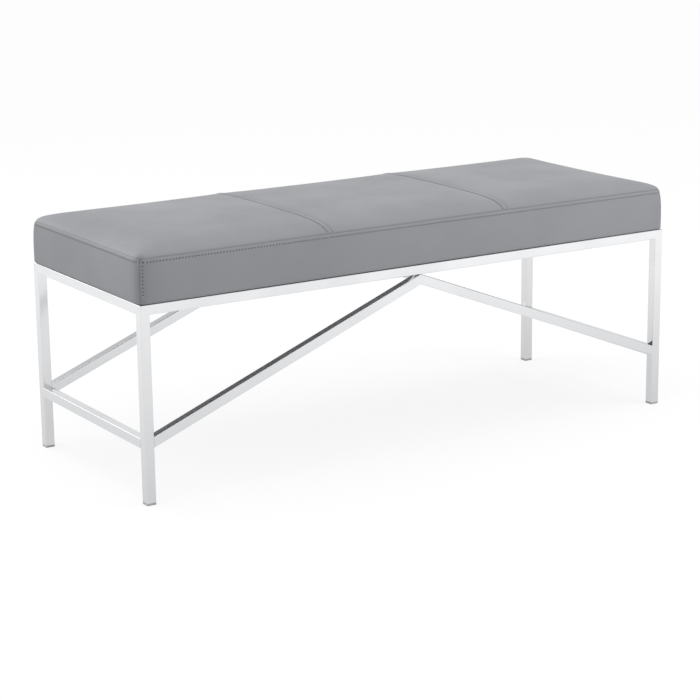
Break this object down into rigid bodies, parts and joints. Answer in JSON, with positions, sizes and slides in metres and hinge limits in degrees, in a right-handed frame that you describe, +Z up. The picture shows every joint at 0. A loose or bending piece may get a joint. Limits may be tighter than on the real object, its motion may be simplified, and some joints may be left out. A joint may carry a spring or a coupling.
{
  "type": "luggage bench",
  "caption": "Low upholstered bench for luggage: a panelled leatherette seat with sewn edges on a welded square-tube frame with end stretchers and peaked side braces.",
  "frame": {"origin": "on the floor, under the middle of the bench", "axes": "+X along the bench, to the right as seen from the front; the front faces -Y; +Z up"},
  "size_m": [1.2184, 0.4686, 0.482],
  "materials": {
    "polished_steel": "polished bright plating on square steel tube",
    "zinc_steel": "dull zinc plating",
    "grey_leatherette": "fine grained grey leatherette with a soft sheen",
    "pale_foam": "open celled upholstery foam",
    "plywood": "bare plywood",
    "grey_plastic": "moulded plastic, matt",
    "grey_felt": "grey non-woven dust cover"
  },
  "bodies": {
    "root": {"leg_front_left": "polished_steel", "leg_front_right": "polished_steel", "leg_rear_left": "polished_steel", "leg_rear_right": "polished_steel", "top_rail_front": "polished_steel", "top_rail_rear": "polished_steel", "top_rail_left": "polished_steel", "top_rail_right": "polished_steel", "end_stretcher_left": "polished_steel", "end_stretcher_right": "polished_steel", "brace_front_left": "polished_steel", "brace_front_right": "polished_steel", "brace_rear_left": "polished_steel", "brace_rear_right": "polished_steel", "foot_plug_front_left": "grey_plastic", "foot_plug_front_right": "grey_plastic", "foot_plug_rear_left": "grey_plastic", "foot_plug_rear_right": "grey_plastic", "top_panel_left": "grey_leatherette", "top_panel_middle": "grey_leatherette", "top_panel_right": "grey_leatherette", "side_band_front": "grey_leatherette", "side_band_rear": "grey_leatherette", "side_band_left": "grey_leatherette", "side_band_right": "grey_leatherette", "seat_foam": "pale_foam", "seat_board": "plywood", "dust_cover": "grey_felt", "seat_tab_front_left": "polished_steel", "seat_tab_front_right": "polished_steel", "seat_tab_rear_left": "polished_steel", "seat_tab_rear_right": "polished_steel", "seat_tab_left": "polished_steel", "seat_tab_right": "polished_steel", "seat_bolt_front_left": "zinc_steel", "seat_bolt_front_right": "zinc_steel", "seat_bolt_rear_left": "zinc_steel", "seat_bolt_rear_right": "zinc_steel", "seat_bolt_left": "zinc_steel", "seat_bolt_right": "zinc_steel", "washer_front_left": "zinc_steel", "washer_front_right": "zinc_steel", "washer_rear_left": "zinc_steel", "washer_rear_right": "zinc_steel", "washer_left": "zinc_steel", "washer_right": "zinc_steel", "tee_nut_front_left": "zinc_steel", "tee_nut_front_right": "zinc_steel", "tee_nut_rear_left": "zinc_steel", "tee_nut_rear_right": "zinc_steel", "tee_nut_left": "zinc_steel", "tee_nut_right": "zinc_steel"}
  },
  "joints": []
}
